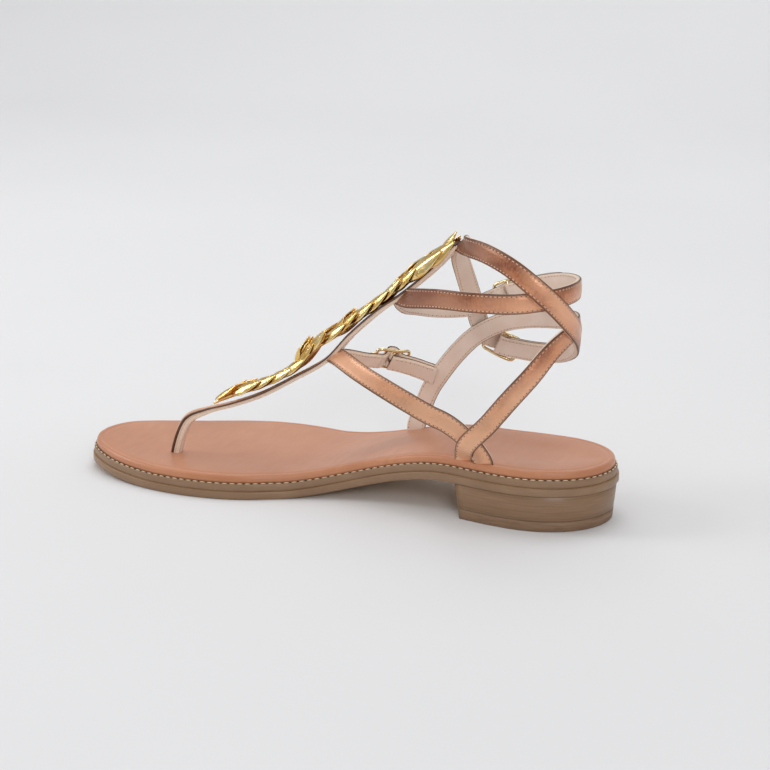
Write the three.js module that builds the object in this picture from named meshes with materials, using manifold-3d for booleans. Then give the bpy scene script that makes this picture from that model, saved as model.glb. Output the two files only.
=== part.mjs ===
// Gladiator toe post sandal for the right foot, in millimetres.
// +X points to the toe, +Y to the inner side of the foot, +Z up.
// The origin is the middle of the heel's tread, on the floor.
import * as THREE from 'three';
import { mergeVertices } from 'three/addons/utils/BufferGeometryUtils.js';
import Module from 'manifold-3d';

const wasm = await Module();
wasm.setup();

// Driving sizes of the sole
const soleLength = 248;
const ballWidth = 90;
const outsoleThickness = 3.5;
const midsoleThickness = 3;
const insoleThickness = 3.5;
const midsoleInset = 0.7;
const insoleInset = 1.8;
const toeSpring = 4;
const heelBlockHeight = 11;
const liftThickness = 4.7;
const heelLength = 66;
const heelInset = 0.8;
const heelTaper = 1.6;
const breastSkew = 4;
const breastHollow = 2.5;
const heelMiddle = 0.48;
const endFlat = 0.15;

// Driving sizes of the upper
const upperHeight = 90;
const strapWidth = 8.3;
const strapThickness = 2.2;
const barWidth = 9;
const postWidth = 4.6;
const postDepth = 4.2;
const footInset = 2.4;
const footRaise = 0.25;
const barTilt = 42;
const strapEdge = 0.3;
const postStart = 0.78;
const postEnd = 0.9;
const gap = 0.3;

// Driving sizes of the gold leaves
const trimWidth = 3.4;
const trimThickness = 1.1;
const leafLength = 15;
const leafWidth = 5.6;
const leafPitch = 8.6;
const leafSpread = 24;
const leafLift = 8;
const leafStand = 5.2;
const broadLeafLength = 22;
const broadLeafWidth = 8;
const broadPairs = [1, 2];
const broadSpread = 0.4;
const broadLift = 0.8;
const leafStart = 0.75;
const leafStagger = 0.25;
const leafRuffle = 0.5;
const leafEdge = 0.3;

// Driving sizes of the buckles
const wire = 1.5;
const frameLength = 15.5;
const frameCorner = 2.2;
const frameSlack = 0.5;
const pinWire = 1.1;
const pinReach = 1.6;
const pinHole = 0.55;
const pinRoom = 0.12;
const ankleTail = 30;
const forefootTail = 21;
const tailWidth = 0.98;
const tailStart = 0.2;
const tailRoot = 5.3;
const anchorEnd = 0.7;
const tailHeight = 0.85;

// Steps of the faceted surfaces
const soleRows = 44;
const strapStep = 4.6;
const roundSides = 8;
const heelPoints = 30;
const breastSteps = 6;
const cornerSteps = 4;
const railStep = 2.6;
const outlineSteps = 480;
const curveSteps = 600;
const sliver = 0.02;

// Where the sole's height changes, as shares of its length from the back of the heel
const seatEnd = 0.27;
const treadStart = 0.6;
const treadEnd = 0.8;

// Sole outline: half width on each side, as shares of the ball width
const innerOutline = [
  { along: 0.013, half: 0.14 },
  { along: 0.045, half: 0.245 },
  { along: 0.09, half: 0.309 },
  { along: 0.14, half: 0.33 },
  { along: 0.2, half: 0.31 },
  { along: 0.27, half: 0.26 },
  { along: 0.35, half: 0.203 },
  { along: 0.43, half: 0.169 },
  { along: 0.51, half: 0.188 },
  { along: 0.59, half: 0.271 },
  { along: 0.66, half: 0.352 },
  { along: 0.735, half: 0.38 },
  { along: 0.82, half: 0.357 },
  { along: 0.9, half: 0.288 },
  { along: 0.955, half: 0.2 },
  { along: 0.988, half: 0.1 },
];
const outerOutline = [
  { along: 0.013, half: 0.14 },
  { along: 0.045, half: 0.24 },
  { along: 0.09, half: 0.302 },
  { along: 0.14, half: 0.326 },
  { along: 0.24, half: 0.342 },
  { along: 0.34, half: 0.382 },
  { along: 0.44, half: 0.452 },
  { along: 0.54, half: 0.548 },
  { along: 0.63, half: 0.61 },
  { along: 0.71, half: 0.62 },
  { along: 0.8, half: 0.56 },
  { along: 0.88, half: 0.455 },
  { along: 0.94, half: 0.35 },
  { along: 0.98, half: 0.235 },
];
const toeTip = -0.045;

// Strap routes. along: share of the sole length from the back of the heel, across: share of the
// ball width, positive on the inner side, up: share of the upper's height above the heel seat.
const barRoute = [
  { along: 0.292, across: 0, up: 0.985 },
  { along: 0.332, across: 0, up: 0.862 },
  { along: 0.395, across: 0, up: 0.71 },
  { along: 0.43, across: 0, up: 0.64 },
  { along: 0.488, across: 0, up: 0.495 },
  { along: 0.532, across: 0, up: 0.362 },
  { along: 0.595, across: 0, up: 0.25 },
  { along: 0.66, across: 0.012, up: 0.148 },
  { along: 0.715, across: 0.03, up: 0.088 },
  { along: 0.763, across: 0.048, up: 0.045 },
  { along: 0.8, across: 0.058, up: -0.012 },
];
const upperAnkleRoute = [
  { along: 0.2845, across: 0, up: 0.985 },
  { along: 0.258, across: 0.13, up: 1.005 },
  { along: 0.214, across: 0.235, up: 1.005 },
  { along: 0.163, across: 0.315, up: 0.968 },
  { along: 0.122, across: 0.342, up: 0.9 },
  { along: 0.09, across: 0.302, up: 0.81 },
  { along: 0.073, across: 0.185, up: 0.7 },
  { along: 0.073, across: 0.05, up: 0.61 },
  { along: 0.09, across: -0.095, up: 0.51 },
  { along: 0.145, across: -0.255, up: 0.42 },
  { along: 0.213, across: -0.345, up: 0.398 },
  { along: 0.258, across: -0.37, up: 0.41 },
  { along: 0.289, across: -0.372, up: 0.48 },
  { along: 0.303, across: -0.345, up: 0.62 },
  { along: 0.308, across: -0.24, up: 0.79 },
  { along: 0.303, across: -0.1, up: 0.93 },
];
const lowerAnkleRoute = [
  { along: 0.3945, across: 0, up: 0.698 },
  { along: 0.366, across: 0.1, up: 0.727 },
  { along: 0.3, across: 0.22, up: 0.767 },
  { along: 0.226, across: 0.308, up: 0.787 },
  { along: 0.155, across: 0.324, up: 0.8 },
  { along: 0.103, across: 0.25, up: 0.815 },
  { along: 0.078, across: 0.09, up: 0.817 },
  { along: 0.084, across: -0.07, up: 0.81 },
  { along: 0.122, across: -0.205, up: 0.79 },
  { along: 0.18, across: -0.295, up: 0.742 },
  { along: 0.245, across: -0.335, up: 0.672 },
  { along: 0.305, across: -0.34, up: 0.598 },
  { along: 0.357, across: -0.3, up: 0.585 },
  { along: 0.39, across: -0.21, up: 0.612 },
  { along: 0.4, across: -0.1, up: 0.645 },
];
const forefootRoute = [
  { along: 0.238, across: 0.284, up: 0.112 },
  { along: 0.272, across: 0.293, up: 0.184 },
  { along: 0.31, across: 0.288, up: 0.222 },
  { along: 0.35, across: 0.272, up: 0.265 },
  { along: 0.397, across: 0.236, up: 0.31 },
  { along: 0.45, across: 0.17, up: 0.353 },
  { along: 0.498, across: 0.083, up: 0.39 },
  { along: 0.52, across: 0, up: 0.38 },
  { along: 0.513, across: -0.1, up: 0.352 },
  { along: 0.493, across: -0.2, up: 0.315 },
  { along: 0.462, across: -0.29, up: 0.288 },
  { along: 0.425, across: -0.352, up: 0.255 },
  { along: 0.378, across: -0.384, up: 0.21 },
];
const heelSlingRoute = [
  { along: 0.238, across: 0.304, up: 0.09 },
  { along: 0.197, across: 0.322, up: 0.215 },
  { along: 0.161, across: 0.32, up: 0.34 },
  { along: 0.126, across: 0.29, up: 0.46 },
  { along: 0.101, across: 0.215, up: 0.56 },
  { along: 0.08, across: 0.105, up: 0.625 },
  { along: 0.078, across: -0.01, up: 0.64 },
  { along: 0.1, across: -0.12, up: 0.63 },
  { along: 0.147, across: -0.215, up: 0.604 },
  { along: 0.2, across: -0.278, up: 0.575 },
  { along: 0.25, across: -0.322, up: 0.53 },
  { along: 0.3, across: -0.345, up: 0.447 },
  { along: 0.338, across: -0.366, up: 0.34 },
  { along: 0.369, across: -0.387, up: 0.228 },
  { along: 0.392, across: -0.404, up: 0.13 },
  { along: 0.408, across: -0.404, up: 0.02 },
];
// The spine of the leaves lies near the bar, stands off it where the forefoot strap crosses
// below, and comes down on it at both ends.
// at: share of the bar's length from its top, stand: share of the greatest stand-off.
const leafRows = [
  { at: 0.005, stand: 0 },
  { at: 0.08, stand: 0.04 },
  { at: 0.17, stand: 0.25 },
  { at: 0.27, stand: 0.1 },
  { at: 0.36, stand: 0.33 },
  { at: 0.41, stand: 0.62 },
  { at: 0.46, stand: 1 },
  { at: 0.5, stand: 0.9 },
  { at: 0.54, stand: 0.5 },
  { at: 0.59, stand: 0.24 },
  { at: 0.65, stand: 0.3 },
  { at: 0.71, stand: 0.38 },
  { at: 0.76, stand: 0.36 },
  { at: 0.81, stand: 0.04 },
];

// Where the feet of the straps enter the insole, as shares of the sole length
const toePostPlace = { along: 0.824, across: 0.062 };
const forefootFoot = 0.212;
const slingInnerFoot = 0.25;
const slingOuterFoot = 0.416;

// The foot inside the straps: each band's face looks away from this core
const footCore = {
  ankle: { from: 0.16, to: 0.25, up: 9 },
  instep: { from: 0, to: 0.44, up: 0.13 },
  sling: { from: 0.18, to: 1, up: 9 },
  bar: { from: 0.1, to: 0.1, up: -0.6 },
};

// Heights that follow from the sizes
const heelRise = liftThickness + gap + heelBlockHeight + gap;
const midsoleBase = outsoleThickness + gap;
const insoleBase = midsoleBase + midsoleThickness + gap;
const footbed = insoleBase + insoleThickness;
const seatTop = heelRise + footbed;
const heelBack = -heelLength * heelMiddle;

function smooth(value, low, high) {
  return THREE.MathUtils.smoothstep(value, low, high);
}

// Underside of the outsole: raised seat, waist, flat tread and toe spring
function soleRise(along) {
  const waist = heelRise * (1 - smooth(along, seatEnd, treadStart));
  const spring = toeSpring * THREE.MathUtils.clamp((along - treadEnd) / (1 - treadEnd), 0, 1) ** 2;
  return waist + spring;
}

// Turns a row of a route into a point of the sandal
function place(row) {
  const x = heelBack + row.along * soleLength;
  return new THREE.Vector3(x, row.across * ballWidth, seatTop + row.up * upperHeight);
}

// One closed loop round the sole, from the heel's back along the inner side and home outside
const outlinePoint = (along, across) => new THREE.Vector3(along * soleLength, across * ballWidth, 0);
const outlineCurve = new THREE.CatmullRomCurve3([
  outlinePoint(0, 0),
  ...innerOutline.map((row) => outlinePoint(row.along, row.half)),
  outlinePoint(1, toeTip),
  ...outerOutline.toReversed().map((row) => outlinePoint(row.along, -row.half)),
], true, 'centripetal');

function insetOutline(inset) {
  return Array.from({ length: outlineSteps }, (_, i) => {
    const point = outlineCurve.getPoint(i / outlineSteps);
    const tangent = outlineCurve.getTangent(i / outlineSteps);
    return new THREE.Vector2(point.x + tangent.y * inset, point.y - tangent.x * inset);
  });
}

// Half width of an inset outline at one place along the sole, on the inner or outer side
function halfWidth(outline, x, side) {
  for (let i = 0; i < outline.length; i += 1) {
    const from = outline[i];
    const to = outline[(i + 1) % outline.length];
    const crosses = (from.x - x) * (to.x - x) <= 0 && from.x !== to.x;
    if (crosses && Math.sign(to.x - from.x) === side) {
      return THREE.MathUtils.lerp(from.y, to.y, (x - from.x) / (to.x - from.x));
    }
  }
  return 0;
}

// Closed body through equal rings, with a flat cap on each end unless it closes on itself
function loft(rings, closed = false) {
  const sides = rings[0].length;
  const points = rings.flat();
  const index = [];
  const spans = closed ? rings.length : rings.length - 1;
  for (let i = 0; i < spans; i += 1) {
    const next = (i + 1) % rings.length;
    for (let j = 0; j < sides; j += 1) {
      const turn = (j + 1) % sides;
      const corner = [i * sides + j, i * sides + turn, next * sides + turn, next * sides + j];
      index.push(corner[0], corner[1], corner[2], corner[0], corner[2], corner[3]);
    }
  }
  if (!closed) {
    const last = (rings.length - 1) * sides;
    const middle = (ring) => ring.reduce((sum, p) => sum.add(p), new THREE.Vector3()).divideScalar(sides);
    points.push(middle(rings[0]), middle(rings[rings.length - 1]));
    for (let j = 0; j < sides; j += 1) {
      const turn = (j + 1) % sides;
      index.push(points.length - 2, turn, j);
      index.push(points.length - 1, last + j, last + turn);
    }
  }
  let volume = 0;
  for (let i = 0; i < index.length; i += 3) {
    const [a, b, c] = [points[index[i]], points[index[i + 1]], points[index[i + 2]]];
    volume += a.dot(new THREE.Vector3().crossVectors(b, c));
  }
  if (volume < 0) index.reverse();
  const geometry = new THREE.BufferGeometry().setFromPoints(points);
  geometry.setIndex(index);
  return geometry;
}

// Solids for joins and cuts
function solid(geometry) {
  const plain = geometry.clone();
  plain.deleteAttribute('normal');
  plain.deleteAttribute('uv');
  const merged = mergeVertices(plain, 1e-4);
  const vertProperties = new Float32Array(merged.attributes.position.array);
  const triVerts = new Uint32Array(merged.index.array);
  return new wasm.Manifold(new wasm.Mesh({ numProp: 3, vertProperties, triVerts }));
}

// The skin of a joined or cut piece, without the slivers that the cuts leave
function surface(body) {
  const mesh = body.simplify(sliver).getMesh();
  const geometry = new THREE.BufferGeometry();
  geometry.setAttribute('position', new THREE.BufferAttribute(mesh.vertProperties, 3));
  geometry.setIndex(new THREE.BufferAttribute(mesh.triVerts, 1));
  return geometry;
}

// The outer skin of a fused piece, with the sealed hollows inside it filled
function outerSkin(body) {
  return body.decompose().reduce((best, part) => (part.volume() > best.volume() ? part : best));
}

function joined(geometries) {
  return geometries.map(solid).reduce((sum, body) => sum.add(body));
}

// A layer of the sole between two heights above the outsole's underside
function soleLayer(inset, base, thickness) {
  const outline = insetOutline(inset);
  const ends = inset + endFlat;
  const rings = Array.from({ length: soleRows + 1 }, (_, i) => {
    const share = 0.5 - 0.5 * Math.cos((Math.PI * i) / soleRows);
    const x = THREE.MathUtils.lerp(ends, soleLength - ends, share);
    const inner = halfWidth(outline, x, 1);
    const outer = halfWidth(outline, x, -1);
    const low = soleRise(x / soleLength) + base;
    return [
      new THREE.Vector3(heelBack + x, inner, low),
      new THREE.Vector3(heelBack + x, inner, low + thickness),
      new THREE.Vector3(heelBack + x, outer, low + thickness),
      new THREE.Vector3(heelBack + x, outer, low),
    ];
  });
  return loft(rings);
}

// One level of the heel: round the back of the sole's outline and across the hollow breast
function heelRing(inset, z) {
  const outline = insetOutline(inset);
  const breastAt = (y) => heelLength + (breastSkew * y) / ballWidth;
  const kept = outline.filter((p) => p.x < breastAt(p.y) - inset);
  const split = kept.findIndex((p, i) => i > 0 && p.distanceTo(kept[i - 1]) > heelLength / 2);
  const round = [...kept.slice(split), ...kept.slice(0, split)];
  const step = (round.length - 1) / (heelPoints - 1);
  const spread = Array.from({ length: heelPoints }, (_, i) => round[Math.round(i * step)]);
  const [from, to] = [spread[heelPoints - 1], spread[0]];
  for (let i = 1; i < breastSteps; i += 1) {
    const share = i / breastSteps;
    const hollow = breastHollow * Math.sin(Math.PI * share);
    spread.push(new THREE.Vector2(
      THREE.MathUtils.lerp(from.x, to.x, share) - hollow,
      THREE.MathUtils.lerp(from.y, to.y, share),
    ));
  }
  return spread.map((p) => new THREE.Vector3(heelBack + p.x, p.y, z));
}

function heelPiece(low, high) {
  const insetAt = (z) => heelInset + heelTaper * (1 - z / heelRise);
  return loft([heelRing(insetAt(low), low), heelRing(insetAt(high), high)]);
}

// The way that the bar faces: a strap that meets it lies flat on it
const barFace = new THREE.Vector3(1, 0, 0).applyAxisAngle(
  new THREE.Vector3(0, 1, 0),
  -THREE.MathUtils.degToRad(90 - barTilt),
);

// A band that follows a route, with its face turned away from the foot's core
function strap(points, core, closed = false) {
  const curve = new THREE.CatmullRomCurve3(points, closed, 'centripetal');
  curve.arcLengthDivisions = curveSteps;
  const length = curve.getLength();
  const coreFrom = heelBack + core.from * soleLength;
  const coreTo = heelBack + core.to * soleLength;
  const coreTop = seatTop + core.up * upperHeight;
  const frameAt = (share) => {
    const at = closed ? share - Math.floor(share) : THREE.MathUtils.clamp(share, 0, 1);
    const point = curve.getPointAt(at);
    const along = curve.getTangentAt(at).normalize();
    const out = new THREE.Vector3(
      point.x - THREE.MathUtils.clamp(point.x, coreFrom, coreTo),
      point.y,
      Math.max(0, point.z - coreTop),
    );
    const onBar = point.x > coreTo ? Math.max(0, 1 - Math.abs(point.y) / barWidth) : 0;
    out.normalize().lerp(barFace, onBar);
    out.addScaledVector(along, -out.dot(along)).normalize();
    return { point, along, out, side: new THREE.Vector3().crossVectors(out, along) };
  };
  return { curve, length, closed, frameAt };
}

// Section of a band: flat inside and outside, with soft edges
function bandRing(frame, width, thickness, lift = 0) {
  const edge = thickness * strapEdge;
  const corners = [
    [width / 2, 0],
    [width / 2 - edge, thickness / 2],
    [edge - width / 2, thickness / 2],
    [-width / 2, 0],
    [edge - width / 2, -thickness / 2],
    [width / 2 - edge, -thickness / 2],
  ];
  return corners.map(([side, out]) => frame.point.clone()
    .addScaledVector(frame.side, side)
    .addScaledVector(frame.out, out + lift));
}

// A band along a route, between two shares of its length
function band(route, sizeAt, from = 0, to = 1) {
  const steps = Math.ceil((route.length * (to - from)) / strapStep);
  const rings = Array.from({ length: steps + 1 }, (_, i) => {
    const share = THREE.MathUtils.lerp(from, to, i / steps);
    const { width, thickness } = sizeAt(share);
    return bandRing(route.frameAt(share), width, thickness);
  });
  return loft(rings);
}

// Two points where a strap goes down into the insole, just inside its edge, clear of the midsole
function footPoints(along, side, across) {
  const x = along * soleLength;
  const edge = halfWidth(insetOutline(insoleInset + footInset), x, side);
  const y = across === undefined ? edge : across * ballWidth;
  const reach = strapWidth / 2 / soleLength;
  const low = Math.max(soleRise(along - reach), soleRise(along + reach)) + insoleBase;
  return [
    new THREE.Vector3(heelBack + x, y, low + insoleThickness),
    new THREE.Vector3(heelBack + x, y, low + footRaise),
  ];
}

const toePost = footPoints(toePostPlace.along, 1, toePostPlace.across);
const routes = {
  bar: strap([...barRoute.map(place), ...toePost], footCore.bar),
  upperAnkle: strap(upperAnkleRoute.map(place), footCore.ankle, true),
  lowerAnkle: strap(lowerAnkleRoute.map(place), footCore.ankle, true),
  forefoot: strap([
    ...footPoints(forefootFoot, 1).toReversed(),
    ...forefootRoute.map(place),
  ], footCore.instep),
  sling: strap([
    ...footPoints(slingInnerFoot, 1).toReversed(),
    ...heelSlingRoute.map(place),
    ...footPoints(slingOuterFoot, -1),
  ], footCore.sling),
};
const leafSeat = strapThickness / 2 + gap + trimThickness / 2;
routes.leaves = strap(leafRows.map((row) => {
  const frame = routes.bar.frameAt(row.at);
  return frame.point.clone().addScaledVector(frame.out, leafSeat + row.stand * leafStand);
}), footCore.bar);

// The bar narrows into a thick post between the toes
function barSize(share) {
  const post = smooth(share, postStart, postEnd);
  return {
    width: THREE.MathUtils.lerp(barWidth, postWidth, post),
    thickness: THREE.MathUtils.lerp(strapThickness, postDepth, post),
  };
}

const plainSize = () => ({ width: strapWidth, thickness: strapThickness });

// Each buckle: the strap that it closes, the place of its centre bar on it, the way that the
// strap's free end points and how far that reaches
const buckles = [
  { name: 'upper_ankle', route: routes.upperAnkle, at: 0.7, way: -1, tail: ankleTail },
  { name: 'lower_ankle', route: routes.lowerAnkle, at: 0.712, way: -1, tail: ankleTail },
  { name: 'forefoot', route: routes.forefoot, at: 0.862, way: 1, tail: forefootTail },
];

// A place on a buckled strap, measured from the buckle towards the strap's free end
function buckleFrame(buckle, reach) {
  const frame = buckle.route.frameAt(buckle.at + (buckle.way * reach) / buckle.route.length);
  if (buckle.way > 0) return frame;
  return {
    point: frame.point,
    along: frame.along.clone().negate(),
    out: frame.out,
    side: frame.side.clone().negate(),
  };
}

// A strap with a buckle stops where its free end starts to rise, short of the centre bar. The
// anchor that holds the buckle starts there and goes on from the bar.
function buckledBands({ route, at, way }) {
  const root = at - (way * tailRoot) / route.length;
  const anchor = at - (way * anchorEnd) / route.length;
  if (route.closed) return [band(route, plainSize, root, anchor + 1)];
  return [band(route, plainSize, 0, root), band(route, plainSize, anchor, 1)];
}

// Heights above the middle of the strap: the buckle's front and centre bars lie on the strap,
// and its rear bar on the strap's free end, which goes over the centre bar and under the rear one
const lowBar = strapThickness / 2 + gap + wire / 2;
const tailRest = strapThickness * tailHeight;
const rearBar = tailRest + strapThickness / 2 + gap + wire / 2;
const hookRadius = wire / 2 + gap + pinWire / 2;
const tailOverBar = lowBar + hookRadius + pinWire / 2 + gap + strapThickness / 2;

// Free end of a strap, from the front bar to its point. reach: share of its length beyond the
// centre bar, lift: from lying on the strap to clear of the pin's hook, width: share of its width
const tailRows = [
  { reach: -0.3, lift: 0, width: 1 },
  { reach: -0.22, lift: 0.04, width: 1 },
  { reach: -0.12, lift: 0.5, width: 1 },
  { reach: -0.05, lift: 0.95, width: 1 },
  { reach: 0.04, lift: 1, width: 1 },
  { reach: 0.13, lift: 0.55, width: 1 },
  { reach: 0.22, lift: 0.06, width: 1 },
  { reach: 0.4, lift: 0, width: 1 },
  { reach: 0.6, lift: 0, width: 1 },
  { reach: 0.76, lift: 0, width: 1 },
  { reach: 0.9, lift: 0.12, width: 0.92 },
  { reach: 1, lift: 0.25, width: 0.45 },
];

function buckleTail(buckle) {
  const rings = tailRows.map((row) => {
    const base = row.reach < 0 ? tailStart : tailRest;
    const lift = THREE.MathUtils.lerp(base, tailOverBar, row.lift);
    const width = row.width * strapWidth * tailWidth;
    return bandRing(buckleFrame(buckle, row.reach * buckle.tail), width, strapThickness, lift);
  });
  return loft(rings);
}

// A round wire along points, closed on itself or not. across: a direction that it never takes
function wireBody(points, radius, closed, across) {
  const rings = points.map((point, i) => {
    const before = closed ? points[(i + points.length - 1) % points.length] : points[Math.max(0, i - 1)];
    const after = closed ? points[(i + 1) % points.length] : points[Math.min(points.length - 1, i + 1)];
    const along = after.clone().sub(before).normalize();
    const side = new THREE.Vector3().crossVectors(along, across).normalize();
    const out = new THREE.Vector3().crossVectors(side, along);
    return Array.from({ length: roundSides }, (_, j) => {
      const angle = (2 * Math.PI * j) / roundSides;
      return point.clone()
        .addScaledVector(side, radius * Math.cos(angle))
        .addScaledVector(out, radius * Math.sin(angle));
    });
  });
  return loft(rings, closed);
}

// Buckle frame in its own axes: x towards the free end, y across the strap, z outwards.
// Its rails lie low from the front bar to the centre bar and rise to the rear bar.
function frameLoop(radius) {
  const halfLength = frameLength / 2;
  const halfAcross = strapWidth / 2 + frameSlack + wire / 2;
  const corners = [];
  for (const [sx, sy] of [[1, 1], [-1, 1], [-1, -1], [1, -1]]) {
    for (let i = 0; i <= cornerSteps; i += 1) {
      const share = sx * sy > 0 ? i / cornerSteps : 1 - i / cornerSteps;
      const angle = (share * Math.PI) / 2;
      const x = sx * (halfLength - frameCorner + frameCorner * Math.cos(angle));
      const y = sy * (halfAcross - frameCorner + frameCorner * Math.sin(angle));
      corners.push(new THREE.Vector2(x, y));
    }
  }
  const points = corners.flatMap((corner, i) => {
    const next = corners[(i + 1) % corners.length];
    const count = Math.ceil(corner.distanceTo(next) / railStep);
    return Array.from({ length: count }, (_, k) => corner.clone().lerp(next, k / count));
  });
  const rise = (x) => THREE.MathUtils.lerp(lowBar, rearBar, smooth(x, 0, halfLength));
  return wireBody(
    points.map((p) => new THREE.Vector3(p.x, p.y, rise(p.x))),
    radius,
    true,
    new THREE.Vector3(0, 0, 1),
  );
}

function centreBar(radius) {
  const halfAcross = strapWidth / 2 + frameSlack + wire / 2;
  const ends = [new THREE.Vector3(0, -halfAcross, lowBar), new THREE.Vector3(0, halfAcross, lowBar)];
  return wireBody(ends, radius, false, new THREE.Vector3(0, 0, 1));
}

// Buckle pin: a hook over the centre bar and a straight shank that rests on the front bar.
// The hook's turns are in half circles round the bar, and longer by the room at its end.
const hookTurns = [0.08, 0.3, 0.5, 0.62];
const hookEnd = -0.15;

function pinWireBody(radius, room = 0) {
  const points = [hookEnd - room, ...hookTurns].map((turn) => new THREE.Vector3(
    hookRadius * Math.cos(turn * Math.PI),
    0,
    lowBar + hookRadius * Math.sin(turn * Math.PI),
  ));
  const front = -frameLength / 2;
  const restHeight = lowBar + wire / 2 + gap + pinWire / 2;
  points.push(new THREE.Vector3(front + wire, 0, restHeight));
  points.push(new THREE.Vector3(front - pinReach, 0, restHeight));
  return wireBody(points, radius, false, new THREE.Vector3(0, 1, 0));
}

function bucklePlacement(buckle) {
  const frame = buckleFrame(buckle, 0);
  return new THREE.Matrix4().makeBasis(frame.along, frame.side, frame.out).setPosition(frame.point);
}

// One leaf: a pointed blade with a raised rib, its stalk at the origin and its tip along +X
const leafSections = [
  { along: 0, half: 0.16, rib: 0.5 },
  { along: 0.25, half: 0.42, rib: 0.9 },
  { along: 0.5, half: 0.5, rib: 1 },
  { along: 0.78, half: 0.3, rib: 0.8 },
  { along: 1, half: 0.04, rib: 0.3 },
];

function leafBlade(length, width) {
  const edge = trimThickness * leafEdge;
  return loft(leafSections.map((row) => [
    new THREE.Vector3(row.along * length, row.half * width, edge),
    new THREE.Vector3(row.along * length, 0, THREE.MathUtils.lerp(edge, trimThickness, row.rib)),
    new THREE.Vector3(row.along * length, -row.half * width, edge),
    new THREE.Vector3(row.along * length, 0, -edge * row.rib),
  ]));
}

// Leaves grow in pairs along the spine, all pointing up the foot, with broad ones near the top
function leafBlades() {
  const route = routes.leaves;
  const pairs = Math.floor((route.length - leafLength) / leafPitch);
  const blades = [];
  for (let i = 0; i <= pairs; i += 1) {
    const start = leafLength * leafStart + i * leafPitch;
    const broad = broadPairs.includes(i);
    const length = broad ? broadLeafLength : leafLength;
    const width = broad ? broadLeafWidth : leafWidth;
    const spread = leafSpread * (broad ? broadSpread : 1);
    const lift = leafLift * (broad ? broadLift : 1 + leafRuffle * (i % 2));
    for (const side of [1, -1]) {
      const frame = route.frameAt((start + side * leafPitch * leafStagger) / route.length);
      const matrix = new THREE.Matrix4()
        .makeBasis(frame.along.clone().negate(), frame.side.clone().negate(), frame.out)
        .setPosition(frame.point.clone().addScaledVector(frame.out, trimThickness * leafEdge));
      matrix.multiply(new THREE.Matrix4().makeRotationZ(side * THREE.MathUtils.degToRad(spread)));
      matrix.multiply(new THREE.Matrix4().makeRotationY(-THREE.MathUtils.degToRad(lift)));
      blades.push(leafBlade(length, width).applyMatrix4(matrix));
    }
  }
  return blades;
}

// Finishes
const finish = {
  outsole: new THREE.MeshStandardMaterial({ color: 0xc39a6b, roughness: 0.7 }),
  edge: new THREE.MeshStandardMaterial({ color: 0x9a7f66, roughness: 0.6 }),
  lift: new THREE.MeshStandardMaterial({ color: 0x8a6a4e, roughness: 0.75 }),
  insole: new THREE.MeshStandardMaterial({ color: 0xc98f6c, roughness: 0.45 }),
  strap: new THREE.MeshStandardMaterial({ color: 0xb9794f, roughness: 0.35, metalness: 0.25 }),
  leaf: new THREE.MeshStandardMaterial({ color: 0xd9a84a, roughness: 0.18, metalness: 1 }),
  buckle: new THREE.MeshStandardMaterial({ color: 0xe0cf9a, roughness: 0.25, metalness: 1 }),
};

const sandal = new THREE.Group();

function addPiece(name, geometry, material, placement) {
  const mesh = new THREE.Mesh(geometry, material);
  mesh.name = name;
  if (placement) {
    placement.decompose(mesh.position, mesh.quaternion, mesh.scale);
  }
  sandal.add(mesh);
}

// The straps, joined where they cross, with room cut for the buckle wires
const straps = joined([
  band(routes.bar, barSize),
  band(routes.sling, plainSize),
  ...buckles.flatMap(buckledBands),
  ...buckles.map(buckleTail),
]);
const wireRoom = joined(buckles.flatMap((buckle) => {
  const placement = bucklePlacement(buckle);
  return [
    frameLoop(wire / 2 + gap).applyMatrix4(placement),
    centreBar(wire / 2 + gap).applyMatrix4(placement),
    pinWireBody(pinWire / 2 + pinHole, pinRoom).applyMatrix4(placement),
  ];
}));
const upper = outerSkin(straps.subtract(wireRoom));

// Pockets in the insole for the feet of the straps
const strapRoom = () => ({ width: strapWidth + 2 * gap, thickness: strapThickness + 2 * gap });
const postRoom = (share) => {
  const { width, thickness } = barSize(share);
  return { width: width + 2 * gap, thickness: thickness + 2 * gap };
};
// Below each foot the pocket goes through the insole
function footRoom(route, share, sizeAt) {
  const { width, thickness } = sizeAt(share);
  const high = bandRing(route.frameAt(share), width, thickness);
  const low = high.map((point) => point.clone().setZ(point.z - insoleThickness));
  return loft([high, low]);
}

const pockets = joined([
  band(routes.bar, postRoom),
  band(routes.forefoot, strapRoom),
  band(routes.sling, strapRoom),
  footRoom(routes.bar, 1, postRoom),
  footRoom(routes.forefoot, 0, strapRoom),
  footRoom(routes.sling, 0, strapRoom),
  footRoom(routes.sling, 1, strapRoom),
]);
const insole = solid(soleLayer(insoleInset, insoleBase, insoleThickness)).subtract(pockets);

const leafSpine = band(routes.leaves, () => ({ width: trimWidth, thickness: trimThickness }));

addPiece('outsole', soleLayer(0, 0, outsoleThickness), finish.outsole);
addPiece('midsole', soleLayer(midsoleInset, midsoleBase, midsoleThickness), finish.edge);
addPiece('insole', surface(insole), finish.insole);
addPiece('heel_block', heelPiece(liftThickness + gap, heelRise - gap), finish.edge);
addPiece('top_lift', heelPiece(0, liftThickness), finish.lift);
addPiece('upper', surface(upper), finish.strap);
addPiece('leaf_trim', surface(outerSkin(joined([leafSpine, ...leafBlades()]))), finish.leaf);
const frameShape = surface(joined([frameLoop(wire / 2), centreBar(wire / 2)]));
for (const buckle of buckles) {
  const placement = bucklePlacement(buckle);
  addPiece(`buckle_frame_${buckle.name}`, frameShape, finish.buckle, placement);
  addPiece(`buckle_pin_${buckle.name}`, pinWireBody(pinWire / 2), finish.buckle, placement);
}

export default sandal;
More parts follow.
